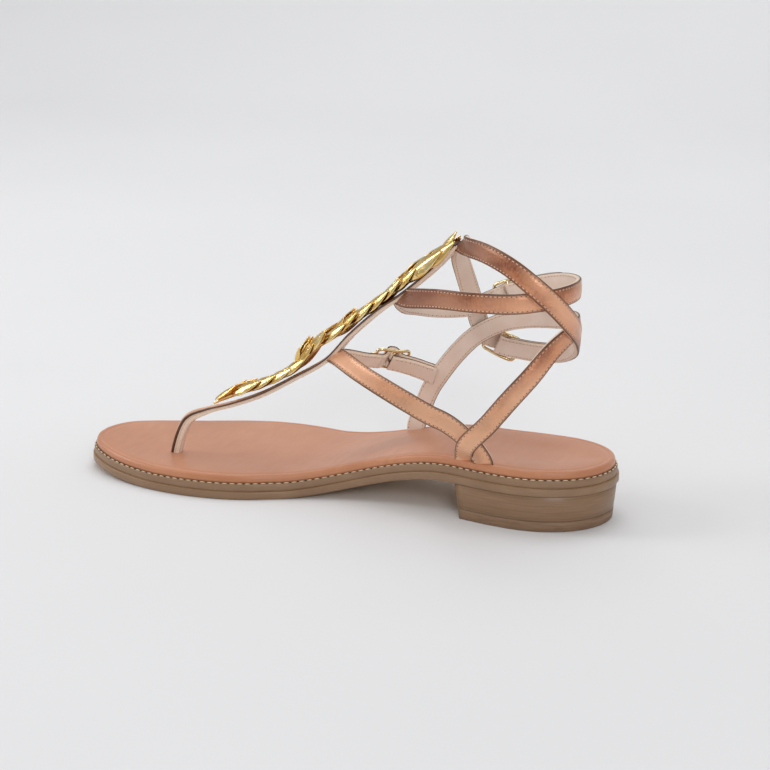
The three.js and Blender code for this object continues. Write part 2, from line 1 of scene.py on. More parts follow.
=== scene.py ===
# Looks of a gladiator toe post sandal for the right foot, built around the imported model.
# +X points to the toe, +Y to the inner side of the foot, +Z up, with the floor at zero.
import math
import bpy
import numpy as np
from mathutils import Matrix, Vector


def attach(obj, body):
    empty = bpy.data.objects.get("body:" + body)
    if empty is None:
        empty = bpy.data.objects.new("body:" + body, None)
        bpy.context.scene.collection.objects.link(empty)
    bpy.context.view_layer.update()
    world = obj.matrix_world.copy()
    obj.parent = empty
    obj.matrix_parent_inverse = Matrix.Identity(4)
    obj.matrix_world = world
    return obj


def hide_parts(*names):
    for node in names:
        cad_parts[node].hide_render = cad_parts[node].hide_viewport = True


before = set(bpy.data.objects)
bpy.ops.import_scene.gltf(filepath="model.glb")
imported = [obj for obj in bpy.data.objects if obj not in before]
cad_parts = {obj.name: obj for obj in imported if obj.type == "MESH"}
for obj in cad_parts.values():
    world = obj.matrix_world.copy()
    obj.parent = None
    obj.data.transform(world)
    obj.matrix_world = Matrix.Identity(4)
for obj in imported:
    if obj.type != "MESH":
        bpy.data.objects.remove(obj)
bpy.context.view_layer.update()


# OUTSOLE. One sheet of tan sole leather, 3.5 mm thick, cut to the last's outline.
# Its underside is left raw and matt, and its edge is ground, stained grey-brown and waxed.
SOLE_LENGTH = 248.0
BALL_WIDTH = 90.0
HEEL_LENGTH = 66.0
HEEL_BACK = -HEEL_LENGTH * 0.48
HEEL_RISE = 16.3
SEAT_END, TREAD_START, TREAD_END = 0.27, 0.6, 0.8
TOE_SPRING = 4.0
OUTSOLE_THICKNESS = 3.5


def linear(hex_colour):
    """An sRGB hex colour as a linear one."""
    parts = [int(hex_colour[i:i + 2], 16) / 255 for i in (0, 2, 4)]
    return (*[c / 12.92 if c <= 0.04045 else ((c + 0.055) / 1.055) ** 2.4 for c in parts], 1.0)


def add(tree, kind, settings=None, links=None):
    """Adds a node with its settings and inputs: values, sockets, or nodes for their first output."""
    made = tree.nodes.new(kind)
    for name, value in (settings or {}).items():
        setattr(made, name, value)
    for name, value in (links or {}).items():
        if isinstance(value, bpy.types.Node):
            value = value.outputs[0]
        if isinstance(value, bpy.types.NodeSocket):
            tree.links.new(value, made.inputs[name])
        else:
            made.inputs[name].default_value = value
    return made


def finish_named(name, roughness, metallic=0.0, coat=0.0, sheen=0.0):
    """A new material with its constant values on the shader's own sockets."""
    material = bpy.data.materials.new(name)
    material.use_nodes = True
    shader = material.node_tree.nodes["Principled BSDF"]
    for socket, value in (("Roughness", roughness), ("Metallic", metallic), ("Coat Weight", coat),
                          ("Coat Roughness", 0.25), ("Sheen Weight", sheen)):
        shader.inputs[socket].default_value = value
    return material, material.node_tree, shader


def millimetres(tree, stretch=(1, 1, 1)):
    """The place on the piece in millimetres, stretched along its axes."""
    place = add(tree, "ShaderNodeTexCoord").outputs["Object"]
    scale = [1000 / s for s in stretch]
    return add(tree, "ShaderNodeMapping", links={"Vector": place, "Scale": scale})


def blotches(tree, size, detail=3.0, low=0.35, high=0.65, stretch=(1, 1, 1), where=None):
    """Soft noise with blotches of that size in millimetres, spread over 0 to 1."""
    where = millimetres(tree, stretch) if where is None else where
    noise = add(tree, "ShaderNodeTexNoise", links={"Vector": where, "Scale": 1 / size, "Detail": detail})
    spread = {"Value": noise.outputs["Fac"], "From Min": low, "From Max": high}
    return add(tree, "ShaderNodeMapRange", links=spread)


def product(tree, *factors):
    """Shares and sizes multiplied together."""
    whole = factors[0]
    for factor in factors[1:]:
        whole = add(tree, "ShaderNodeMath", {"operation": "MULTIPLY"}, {0: whole, 1: factor})
    return whole


def dyed(tree, shader, ground, *coats):
    """Colours a finish: its ground first, then each coat over it by a share from 0 to 1."""
    colour = linear(ground)
    for share, coat in coats:
        mix = add(tree, "ShaderNodeMix", {"data_type": "RGBA"}, {0: share, 6: colour, 7: linear(coat)})
        colour = mix.outputs[2]
    tree.links.new(colour, shader.inputs[0])


def relief(tree, shader, height, depth, below=None):
    """Bump of that depth in millimetres, on top of another one if there is one."""
    links = {"Height": height, "Distance": depth / 1000}
    if below is not None:
        links["Normal"] = below
    bump = add(tree, "ShaderNodeBump", links=links)
    tree.links.new(bump.outputs["Normal"], shader.inputs["Normal"])
    return bump


def new_piece(name, points, faces, materials, slots=None, uvs=None):
    """A mesh piece from points in millimetres."""
    mesh = bpy.data.meshes.new(name)
    mesh.from_pydata((np.asarray(points) * 0.001).tolist(), [], faces, shade_flat=False)
    for material in materials:
        mesh.materials.append(material)
    if slots is not None:
        mesh.polygons.foreach_set("material_index", slots)
    if uvs is not None:
        mesh.uv_layers.new(name="UVMap").data.foreach_set("uv", np.asarray(uvs, np.float32).ravel())
    mesh.update()
    piece = bpy.data.objects.new(name, mesh)
    bpy.context.scene.collection.objects.link(piece)
    return piece


def worn(piece, slot, *nodes):
    """The piece rides on the sandal's one body and stands for its solids."""
    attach(piece, "root")
    if nodes:
        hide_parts(*nodes)
    return piece


def solid_corners(node):
    return np.array([v.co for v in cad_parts[node].data.vertices]) * 1000


def unit(vectors):
    return vectors / np.linalg.norm(vectors, axis=1)[:, None]


def course(points, closed=False):
    """The direction of a line at each of its points."""
    return unit(np.roll(points, -1, axis=0) - np.roll(points, 1, axis=0) if closed
                else np.gradient(points, axis=0))


def read_off(where, run, table):
    """The rows of a table at places between its own, which lie at run."""
    return np.column_stack([np.interp(where, run, column) for column in table.T])


def curve_through(points, count, closed=False):
    """Even steps along the smooth curve through some points, with count + 1 points."""
    p = np.asarray(points, float)
    p = np.vstack([p[-1], p, p[0], p[1]] if closed else [2 * p[0] - p[1], p, 2 * p[-1] - p[-2]])
    knots = np.sqrt(np.linalg.norm(np.diff(p, axis=0), axis=1))
    t = np.linspace(0, 1, 60, endpoint=False)[:, None]
    fine = []
    for i in range(len(p) - 3):
        a, b, c, d = p[i:i + 4]
        before, here, after = knots[i:i + 3]
        leave = ((b - a) / before - (c - a) / (before + here) + (c - b) / here) * here
        reach = ((c - b) / here - (d - b) / (here + after) + (d - c) / after) * here
        fine.append((2 * t**3 - 3 * t**2 + 1) * b + (t**3 - 2 * t**2 + t) * leave
                    + (3 * t**2 - 2 * t**3) * c + (t**3 - t**2) * reach)
    fine = np.vstack([*fine, p[-2][None]])
    run = np.concatenate([[0], np.cumsum(np.linalg.norm(np.diff(fine, axis=0), axis=1))])
    where = np.linspace(0, run[-1], count + 1)
    return read_off(where, run, fine), run[-1]


def sole_rise(x):
    """Height of the outsole's underside: raised seat, waist, flat tread and toe spring."""
    along = (np.asarray(x) - HEEL_BACK) / SOLE_LENGTH
    waist = np.clip((along - SEAT_END) / (TREAD_START - SEAT_END), 0, 1)
    spring = np.clip((along - TREAD_END) / (1 - TREAD_END), 0, 1)
    return HEEL_RISE * (1 - waist * waist * (3 - 2 * waist)) + TOE_SPRING * spring**2


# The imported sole's outline, as its inner and its outer edge
ROWS, COLUMNS = 150, 16
BORDER = 2 * (ROWS + COLUMNS)
sole_corners = solid_corners("outsole")
edges = []
for x in np.unique(sole_corners[:, 0].round(2)):
    across = sole_corners[abs(sole_corners[:, 0] - x) < 0.02, 1]
    edges.append((x, across.max(), across.min(), 0))
edges = np.array(edges)
inner_edge, outer_edge = (curve_through(edges[:, [0, k, 3]], ROWS)[0] for k in (1, 2))
between_edges = np.linspace(0, 1, COLUMNS + 1)[1:-1, None]


def inset_border(inset):
    """The sole's outline drawn in. Its direction is taken over 5 mm each way, which rounds the ends."""
    toe = inner_edge[-1] + (outer_edge[-1] - inner_edge[-1]) * between_edges
    heel = outer_edge[0] + (inner_edge[0] - outer_edge[0]) * between_edges
    loop = np.vstack([inner_edge, toe, outer_edge[::-1], heel])
    ring = np.vstack([loop, loop[:1]])
    run = np.concatenate([[0], np.cumsum(np.linalg.norm(np.diff(ring, axis=0), axis=1))])
    ahead, behind = (read_off((run[:-1] + reach) % run[-1], run, ring) for reach in (5, -5))
    along = ahead - behind
    inwards = np.column_stack([along[:, 1], -along[:, 0], along[:, 2]])
    return loop + inset * unit(inwards)


def wall(rings, size):
    """Faces of a wall through closed rings of points that follow each other."""
    return [(k * size + i, k * size + j, (k + 1) * size + j, (k + 1) * size + i)
            for k in range(rings - 1) for i, j in zip(range(size), [*range(1, size), 0])]


def sole_sheet(name, base, profile, materials, dish=None):
    """A sheet of the sole. profile: inset and height of its edge from underside to top."""
    points = []
    for inset, height in profile:
        ring = inset_border(inset)
        ring[:, 2] = sole_rise(ring[:, 0]) + base + height
        points.append(ring)
    faces = wall(len(profile), BORDER)
    slots = [1] * len(faces)
    grid = np.zeros((ROWS + 1, COLUMNS + 1), int)
    inside = len(profile) * BORDER
    for top in (True, False):
        level = len(profile) - 1 if top else 0
        ring, first = points[level], level * BORDER
        toe_end = first + ROWS + COLUMNS
        grid[:, 0] = first + np.arange(ROWS + 1)
        grid[:, -1] = np.arange(toe_end + ROWS, toe_end - 1, -1)
        grid[-1, 1:-1] = np.arange(first + ROWS + 1, toe_end)
        grid[0, 1:-1] = first + np.arange(BORDER - 1, BORDER - COLUMNS, -1)
        for i in range(1, ROWS):
            inner, outer = ring[i], ring[2 * ROWS + COLUMNS - i]
            line = inner + (outer - inner) * (0.5 - 0.5 * np.cos(math.pi * between_edges))
            if top and dish:
                line[:, 2] += dish(line, inner, outer)
            grid[i, 1:-1] = inside + np.arange(COLUMNS - 1)
            inside += COLUMNS - 1
            points.append(line)
        sheet = np.stack([grid[:-1, :-1], grid[:-1, 1:], grid[1:, 1:], grid[1:, :-1]], axis=-1).reshape(-1, 4)
        faces += (sheet[:, ::-1] if top else sheet).tolist()
    slots += [0] * (len(faces) - len(slots))
    return new_piece(name, np.vstack(points), faces, materials, slots)


# Vegetable tanned sole leather: matt, tan, a little cloudy, with dark specks between pale fibres.
sole_leather, tree, shader = finish_named("vegetable tanned sole leather", 0.62)
fibres, between_fibres = (blotches(tree, 1.0, 4.0, low, 1 - low, (9, 0.7, 1)) for low in (0.3, 0.7))
specks = product(tree, blotches(tree, 1.6, 2.0, 0.66, 0.8), between_fibres)
dyed(tree, shader, "BE9462", (blotches(tree, 26.0), "CBA374"), (specks, "9C7548"))
relief(tree, shader, fibres, 0.03)

# Stained and waxed edge: satin grey-brown, with the fine lines that grinding leaves along it.
edge_stain, tree, shader = finish_named("stained and waxed leather edge", 0.42, coat=0.15)
lines = blotches(tree, 1.0, 3.0, 0.3, 0.7, (14, 14, 0.35))
dyed(tree, shader, "8A6A4E", (blotches(tree, 14.0), "9C7D60"), (lines, "8E6F53"))
relief(tree, shader, lines, 0.04)

rounded_edge = [(0.7, 0), (0.2, 0.12), (0, 0.5), (0, OUTSOLE_THICKNESS - 0.4),
                (0.12, OUTSOLE_THICKNESS - 0.1), (0.5, OUTSOLE_THICKNESS)]
worn(sole_sheet("outsole_leather", 0, rounded_edge, [sole_leather, edge_stain]), "sole_leather", "outsole")


# MIDSOLE. A 3 mm board under the insole, set 0.7 mm back from the outsole's edge. It is stained
# with the outsole, so that the two read as one edge with a fine line between, and fills the gaps.
MIDSOLE_BASE = OUTSOLE_THICKNESS + 0.02
MIDSOLE_THICKNESS = 3.4
midsole_edge = [(0.9, 0), (0.7, 0.2), (0.65, 1.2), (0.7, MIDSOLE_THICKNESS - 0.5),
                (0.85, MIDSOLE_THICKNESS - 0.15), (1.3, MIDSOLE_THICKNESS)]
worn(sole_sheet("midsole_board", MIDSOLE_BASE, midsole_edge, [edge_stain] * 2), "edge_leather", "midsole")


# INSOLE. Smooth tan lining leather over thin foam, turned down round the edge into a soft roll.
# It is dished a little under the heel and the ball, and fills out at the waist.
INSOLE_BASE = 7.0
INSOLE_THICKNESS = 3.6
# The bed's hollows and its rise at the waist: height, place along the sole, and how far each spreads
FOOTBED = ((-0.75, 0.15, 0.13), (0.35, 0.42, 0.1), (-0.45, 0.72, 0.14))
FOOTBED_EASE = 14


def footbed(line, inner, outer):
    """Extra height of the insole's top inside its bead: a shallow bed under the heel and ball."""
    reach = np.minimum(abs(line[:, 1] - inner[1]), abs(outer[1] - line[:, 1]))
    along = (line[:, 0] - HEEL_BACK) / SOLE_LENGTH
    bed = sum(height * np.exp(-((along - at) / spread) ** 2) for height, at, spread in FOOTBED)
    return bed * np.clip(reach / FOOTBED_EASE, 0, 1) ** 2


# Lining leather on the insole: smooth, tan to rose, soft sheen, finest pores and faint creases.
insole_leather, tree, shader = finish_named("smooth padded insole leather", 0.4, coat=0.12, sheen=0.1)
pores = blotches(tree, 0.7, 4.0, 0.3, 0.7)
creases = blotches(tree, 1.0, 3.0, 0.35, 0.75, (3, 12, 4))
dyed(tree, shader, "BC7A55", (blotches(tree, 30.0), "C98963"), (creases, "C08059"))
relief(tree, shader, creases, 0.07, relief(tree, shader, pores, 0.025))

insole_edge = [(3.0, 0), (2.2, 0.05), (1.9, 0.4), (1.75, 1.1), (1.75, 1.8), (1.9, 2.5), (2.2, 3.1),
               (2.7, 3.5), (3.3, 3.62), (3.9, 3.5), (4.3, 3.32), (4.7, 3.3), (5.3, 3.42),
               (6.2, INSOLE_THICKNESS)]
insole = sole_sheet("insole_padded", INSOLE_BASE, insole_edge, [insole_leather] * 2, footbed)
worn(insole, "insole_leather", "insole")


# SEWING. Cream thread goes round the insole's turned edge, and rose beige thread along both edges
# of each strap. A stitch is a short round lozenge, and a needle hole a dark one between two stitches.
def laid_tree(name, sizes, shaped):
    """Lays one shape on each point, along its seam or stem and flat on what carries it."""
    tree = bpy.data.node_groups.new(name, "GeometryNodeTree")
    kinds = {"Geometry": "Geometry", **dict.fromkeys(sizes, "Float"), "Material": "Material"}
    for socket, kind in kinds.items():
        tree.interface.new_socket(socket, in_out="INPUT", socket_type=f"NodeSocket{kind}")
    tree.interface.new_socket("Geometry", in_out="OUTPUT", socket_type="NodeSocketGeometry")
    enter = add(tree, "NodeGroupInput").outputs
    along, out, size = (add(tree, "GeometryNodeInputNamedAttribute", {"data_type": "FLOAT_VECTOR"},
                            {"Name": key}) for key in ("along", "out", "size"))
    turn = add(tree, "FunctionNodeAlignRotationToVector", {"axis": "X"}, {"Vector": along})
    lay = add(tree, "FunctionNodeAlignRotationToVector", {"axis": "Z", "pivot_axis": "X"},
              {"Rotation": turn, "Vector": out})
    laid = add(tree, "GeometryNodeInstanceOnPoints",
               links={"Points": enter[0], "Instance": shaped(tree, enter), "Rotation": lay, "Scale": size})
    real = add(tree, "GeometryNodeRealizeInstances", links={"Geometry": laid})
    soft = add(tree, "GeometryNodeSetShadeSmooth", links={"Geometry": real})
    finished = add(tree, "GeometryNodeSetMaterial", links={"Geometry": soft, "Material": enter["Material"]})
    add(tree, "NodeGroupOutput", links={"Geometry": finished})
    return tree


def laid_out(name, tree, points, along, out, size=1.0, **inputs):
    """Runs a tree on points with their direction, face and size, and keeps its plain mesh."""
    piece = new_piece(name, points, [], [])
    for key, vectors in (("along", along), ("out", out), ("size", size)):
        column = piece.data.attributes.new(key, "FLOAT_VECTOR", "POINT")
        vectors = np.broadcast_to(np.asarray(vectors, np.float32), (len(points), 3))
        column.data.foreach_set("vector", vectors.ravel())
    modifier = piece.modifiers.new(name, "NODES")
    modifier.node_group = tree
    for socket in tree.interface.items_tree:
        if socket.in_out == "INPUT" and socket.name in inputs:
            modifier[socket.identifier] = inputs[socket.name]
    made = piece.evaluated_get(bpy.context.evaluated_depsgraph_get())
    mesh = bpy.data.meshes.new_from_object(made)
    piece.modifiers.clear()
    piece.data = mesh
    return piece


def lozenge(tree, enter):
    ball = add(tree, "GeometryNodeMeshUVSphere", links={"Segments": 6, "Rings": 5, "Radius": 0.5})
    size = add(tree, "ShaderNodeCombineXYZ", links=dict(zip("XYZ", enter[1:4])))
    return add(tree, "GeometryNodeTransform", links={"Geometry": ball, "Scale": size})


sewing_tree = laid_tree("Stitches and needle holes", ("Length", "Width", "Height"), lozenge)


def sewn(name, points, along, out, size, material):
    """Stitches or holes of one length, width and height in millimetres."""
    length, width, height = (s / 1000 for s in size)
    return laid_out(name, sewing_tree, points, along, out,
                    Length=length, Width=width, Height=height, Material=material)


def two_toned(name, roughness, tones, depth, *noise, stretch=(1, 1, 1), **look):
    """A finish of two tones in soft blotches, with the second one raised by that depth."""
    material, tree, shader = finish_named(name, roughness, **look)
    share = blotches(tree, *noise, stretch=stretch)
    dyed(tree, shader, tones[0], (share, tones[1]))
    if depth:
        relief(tree, shader, share, depth)
    return material


# Waxed sewing thread: dull, with the slight darkening of the wax between the plies. The insole's
# is cream, and the straps' is dyed to go with their leather, a rose beige.
thread = two_toned("waxed cream sewing thread", 0.55, ("D2B48C", "EBD7B8"), 0.05, 0.35, 2.0, sheen=0.2)
strap_thread = two_toned("waxed rose beige sewing thread", 0.5, ("D8AE90", "EBC8AC"), 0.05, 0.35, 2.0,
                         sheen=0.2)

# Needle hole: the leather's torn fibres in deep shade.
needle_hole = two_toned("needle hole in leather", 0.9, ("3A2315", "5A3A26"), 0, 0.5)

RAND_PITCH, RAND_INSET, RAND_LIFT, HOLE_DEPTH = 3.4, 1.25, 0.12, 0.08
rand_loop = inset_border(RAND_INSET)
rand_loop[:, 2] = sole_rise(rand_loop[:, 0]) + INSOLE_BASE + RAND_LIFT
rand_length = curve_through(rand_loop, 10, closed=True)[1]
rand_line = curve_through(rand_loop, int(rand_length / RAND_PITCH) * 2, closed=True)[0][:-1]
rand_along = course(rand_line, closed=True)
worn(sewn("insole_stitches", rand_line[::2], rand_along[::2], [0, 0, 1], (2.6, 0.65, 0.5), thread),
     "insole_leather")
worn(sewn("insole_needle_holes", rand_line[1::2] - [0, 0, HOLE_DEPTH], rand_along[1::2], [0, 0, 1],
          (0.5, 0.5, 0.3), needle_hole), "insole_leather")


# HEEL. A block of stacked leather under the seat, stained as the edge, with a rubber top lift.
# Its sides lean in a little towards the floor, and its breast is hollow and slightly skew.
HEEL_STEPS = 120


def heel_ring(node, high):
    """The outline of a heel piece at its lower or upper face, with its two breast corners kept."""
    corners = solid_corners(node)
    level = corners[:, 2].max() if high else corners[:, 2].min()
    ring = np.unique(corners[abs(corners[:, 2] - level) < 0.01].round(3), axis=0)
    centre = (ring.max(0) + ring.min(0)) / 2
    ring = ring[np.linalg.norm(ring - centre, axis=1) > 8]
    ring = ring[np.argsort(np.arctan2(ring[:, 1] - centre[1], ring[:, 0] - centre[0]))]
    turn = unit(np.roll(ring, -1, axis=0) - ring)
    first, second = sorted(np.argsort(np.sum(turn * np.roll(turn, 1, axis=0), axis=1))[:2])
    back, _ = curve_through(ring[first:second + 1], HEEL_STEPS)
    front, _ = curve_through(np.vstack([ring[second:], ring[:first + 1]]), HEEL_STEPS // 3)
    return np.vstack([back[:-1], front[:-1]])


def heel_layer(name, node, profile, materials):
    """A layer of the heel. profile: share of its height and how far the edge is drawn in."""
    low, high = heel_ring(node, False), heel_ring(node, True)
    size = len(low)
    centre = (low.max(0) + low.min(0)) / 2
    rings = []
    for share, drawn in profile:
        ring = low + (high - low) * share
        inwards = centre - ring
        inwards[:, 2] = 0
        rings.append(ring + drawn * unit(inwards))
    faces = wall(len(rings), size)
    slots = [1] * len(faces) + [0] * 2 * size
    for k, middle in ((0, len(rings) * size), (len(rings) - 1, len(rings) * size + 1)):
        cap = [(middle, k * size + (i + 1) % size, k * size + i) for i in range(size)]
        faces += cap if k == 0 else [face[::-1] for face in cap]
    points = np.vstack([*rings, rings[0].mean(0), rings[-1].mean(0)])
    return new_piece(name, points, faces, materials, slots)


# Stacked heel leather: layers of 3 mm show as faint lines under the stain.
ONE_WAVE = 0.314
LAYER, NET_PITCH = 3.0, 1.15
stacked, tree, shader = finish_named("stacked heel leather", 0.42, coat=0.15)
layers = add(tree, "ShaderNodeTexWave", {"bands_direction": "Z", "wave_profile": "SAW"},
             {"Vector": millimetres(tree), "Scale": ONE_WAVE / LAYER, "Distortion": 0.15, "Detail": 1.0})
joints = add(tree, "ShaderNodeMapRange", links={"Value": layers.outputs["Fac"], "From Min": 0.9})
grain = blotches(tree, 1.0, stretch=(10, 10, 0.5))
dyed(tree, shader, "8A6A4E", (grain, "927254"), (joints, "7B5D45"))
relief(tree, shader, grain, 0.03)

heel_profile = [(-0.03, 0.5), (0.0, 0.05), (0.5, 0.0), (1.0, 0.0), (1.03, 0.5)]
worn(heel_layer("heel_stack", "heel_block", heel_profile, [stacked] * 2), "edge_leather", "heel_block")

# Moulded rubber: brown and matt, with a fine net of raised crossing ribs, 1.15 mm apart, on the tread.
tread_rubber, tree, shader = finish_named("moulded heel rubber with a fine net", 0.7)
ribs = []
for angle in (0.5, -0.95):
    turned = add(tree, "ShaderNodeMapping", links={"Vector": millimetres(tree), "Rotation": (0, 0, angle)})
    wave = add(tree, "ShaderNodeTexWave", {"bands_direction": "X"},
               {"Vector": turned, "Scale": ONE_WAVE / NET_PITCH, "Distortion": 0.0})
    ribs.append(wave.outputs["Fac"])
net = add(tree, "ShaderNodeMath", {"operation": "MAXIMUM"}, {0: ribs[0], 1: ribs[1]})
raised, pit_shade = (add(tree, "ShaderNodeMapRange", links={"Value": net, "From Min": low, "From Max": high})
                for low, high in ((0.35, 0.8), (0.8, 0.35)))
# 5E4432 in the pits between the ribs is painted shade in the recesses.
dyed(tree, shader, "8B6C50", (blotches(tree, 12.0), "9A7B5E"), (pit_shade, "5E4432"))
relief(tree, shader, raised, 0.25)

# The lift's side is cut smooth and a little paler than the tread.
lift_side = two_toned("cut rubber side", 0.55, ("7F6148", "8F7157"), 0.03, 1.0, stretch=(8, 8, 1))

lift_profile = [(0.0, 0.45), (0.08, 0.05), (0.5, 0.0), (0.96, 0.05), (1.0, 0.4)]
worn(heel_layer("top_lift_rubber", "top_lift", lift_profile, [tread_rubber, lift_side]),
     "lift_rubber", "top_lift")


# STRAPS. Each strap is a band of burnished metallic leather, 8.3 mm wide, glued and sewn on a
# nude lining that is a little narrower, with a dark painted edge. The bar narrows into the post.
UPPER_HEIGHT = 90.0
SEAT_TOP = 26.9
STRAP_WIDTH, STRAP_THICKNESS = 8.3, 2.2
HALF = STRAP_WIDTH / 2
BAR_WIDTH, POST_WIDTH, POST_DEPTH = 9.0, 4.6, 4.2
BAR_LEAN = math.radians(48)
BAR_FACE = np.array([math.cos(BAR_LEAN), 0.0, math.sin(BAR_LEAN)])
# Where a strap enters the insole: drawn in from the edge, over the underside, and down to its end
FOOT_INSET, FOOT_BASE, FOOT_TOP, FOOT_END = 4.2, 7.1, 3.5, 0.25

# Rows of a route: share of the sole's length, of the ball's width and of the upper's height
bar_route = [
    (0.292, 0, 0.985), (0.332, 0, 0.862), (0.395, 0, 0.71), (0.43, 0, 0.64), (0.488, 0, 0.495),
    (0.532, 0, 0.362), (0.595, 0, 0.25), (0.66, 0.012, 0.148), (0.715, 0.03, 0.088),
    (0.763, 0.048, 0.045), (0.8, 0.058, -0.012)]
upper_ankle_route = [
    (0.2845, 0, 0.985), (0.258, 0.13, 1.005), (0.214, 0.235, 1.005), (0.163, 0.315, 0.968),
    (0.122, 0.342, 0.9), (0.09, 0.302, 0.81), (0.073, 0.185, 0.7), (0.073, 0.05, 0.61),
    (0.09, -0.095, 0.51), (0.145, -0.255, 0.42), (0.213, -0.345, 0.398), (0.258, -0.37, 0.41),
    (0.289, -0.372, 0.48), (0.303, -0.345, 0.62), (0.308, -0.24, 0.79), (0.303, -0.1, 0.93)]
lower_ankle_route = [
    (0.3945, 0, 0.698), (0.366, 0.1, 0.727), (0.3, 0.22, 0.767), (0.226, 0.308, 0.787),
    (0.155, 0.324, 0.8), (0.103, 0.25, 0.815), (0.078, 0.09, 0.817), (0.084, -0.07, 0.81),
    (0.122, -0.205, 0.79), (0.18, -0.295, 0.742), (0.245, -0.335, 0.672), (0.305, -0.34, 0.598),
    (0.357, -0.3, 0.585), (0.39, -0.21, 0.612), (0.4, -0.1, 0.645)]
forefoot_route = [
    (0.238, 0.284, 0.112), (0.272, 0.293, 0.184), (0.31, 0.288, 0.222), (0.35, 0.272, 0.265),
    (0.397, 0.236, 0.31), (0.45, 0.17, 0.353), (0.498, 0.083, 0.39), (0.52, 0, 0.38),
    (0.513, -0.1, 0.352), (0.493, -0.2, 0.315), (0.462, -0.29, 0.288), (0.425, -0.352, 0.255),
    (0.378, -0.384, 0.21)]
heel_sling_route = [
    (0.238, 0.304, 0.09), (0.197, 0.322, 0.215), (0.161, 0.32, 0.34), (0.126, 0.29, 0.46),
    (0.101, 0.215, 0.56), (0.08, 0.105, 0.625), (0.078, -0.01, 0.64), (0.1, -0.12, 0.63),
    (0.147, -0.215, 0.604), (0.2, -0.278, 0.575), (0.25, -0.322, 0.53), (0.3, -0.345, 0.447),
    (0.338, -0.366, 0.34), (0.369, -0.387, 0.228), (0.392, -0.404, 0.13), (0.408, -0.404, 0.02)]


def placed(route):
    r = np.array(route, float)
    return np.column_stack([HEEL_BACK + r[:, 0] * SOLE_LENGTH, r[:, 1] * BALL_WIDTH,
                            SEAT_TOP + r[:, 2] * UPPER_HEIGHT])


def foot_points(along, side=1, across=None):
    """Where a strap goes down into the insole: the point on its top and the one below."""
    x = HEEL_BACK + along * SOLE_LENGTH
    loop = inset_border(FOOT_INSET)
    half = loop[loop[:, 1] * side > 0]
    y = half[np.argmin(abs(half[:, 0] - x)), 1] if across is None else across * BALL_WIDTH
    low = max(sole_rise(x - HALF), sole_rise(x + HALF)) + FOOT_BASE
    return [[x, y, low + FOOT_TOP], [x, y, low + FOOT_END]]


def strap_line(points, core_from, core_to, core_up, closed=False):
    """A strap's middle line in half millimetre steps, with the way that its face looks: out from a
    core in the leg, between two places along the sole and from a height upwards."""
    _, length = curve_through(points, 10, closed)
    centre, length = curve_through(points, int(length * 2), closed)
    along = course(centre[:-1], True) if closed else course(centre)
    along = np.vstack([along, along[:1]]) if closed else along
    low, high = HEEL_BACK + core_from * SOLE_LENGTH, HEEL_BACK + core_to * SOLE_LENGTH
    out = centre.copy()
    out[:, 0] -= np.clip(centre[:, 0], low, high)
    out[:, 2] = np.maximum(0, centre[:, 2] - SEAT_TOP - core_up * UPPER_HEIGHT)
    on_bar = np.where(centre[:, 0] > high, np.maximum(0, 1 - abs(centre[:, 1]) / BAR_WIDTH), 0)[:, None]
    out = unit(out) * (1 - on_bar) + BAR_FACE * on_bar
    out = unit(out - along * np.sum(out * along, axis=1)[:, None])
    return {"run": np.linspace(0, length, len(centre)), "length": length, "closed": closed,
            "centre": centre, "along": along, "out": out}


def frames_at(line, where):
    """Middle, direction, face and side of a strap at distances along it."""
    where = where % line["length"] if line["closed"] else np.clip(where, 0, line["length"])
    centre, along, out = (read_off(where, line["run"], line[key]) for key in ("centre", "along", "out"))
    along, out = unit(along), unit(out)
    return centre, along, out, np.cross(out, along)


bar_line = strap_line([*placed(bar_route), *foot_points(0.824, 1, 0.062)], 0.1, 0.1, -0.6)
upper_ankle_line = strap_line(placed(upper_ankle_route), 0.16, 0.25, 9, closed=True)
lower_ankle_line = strap_line(placed(lower_ankle_route), 0.16, 0.25, 9, closed=True)
forefoot_line = strap_line([*foot_points(0.212)[::-1], *placed(forefoot_route)], 0, 0.44, 0.13)
sling_line = strap_line([*foot_points(0.25)[::-1], *placed(heel_sling_route), *foot_points(0.416, -1)],
                        0.18, 1, 9)

# Buckled straps: the line, the share of its length at the centre bar, the way and length of the end
buckled = {
    "upper_ankle": (upper_ankle_line, 0.7, -1, 30.0),
    "lower_ankle": (lower_ankle_line, 0.712, -1, 30.0),
    "forefoot": (forefoot_line, 0.862, 1, 21.0)}
# Heights over the strap's middle: the centre bar, a resting free end, and the end over the bar
LOW_BAR, TAIL_REST, TAIL_OVER_BAR = 2.15, 1.87, 5.7
# Where the strap stops before the centre bar and starts behind it, and the end's share behind it
TAIL_ROOT, ANCHOR_END, TAIL_BEHIND = 5.3, 0.7, 0.3


def band(run, frames, width=1.0, thick=1.0):
    """A stretch of strap: its distances and frames, with its width and thickness as shares."""
    centre, along, out, side = frames
    return {"run": run, "centre": centre, "along": along, "out": out, "side": side,
            "width": np.broadcast_to(width, len(run)), "thick": np.broadcast_to(thick, len(run))}


def cut_band(line, start, end, step=1.1):
    """A plain stretch of strap between two distances."""
    where = np.linspace(start, end, max(3, int(abs(end - start) / step)))
    return band(where - start, frames_at(line, where))


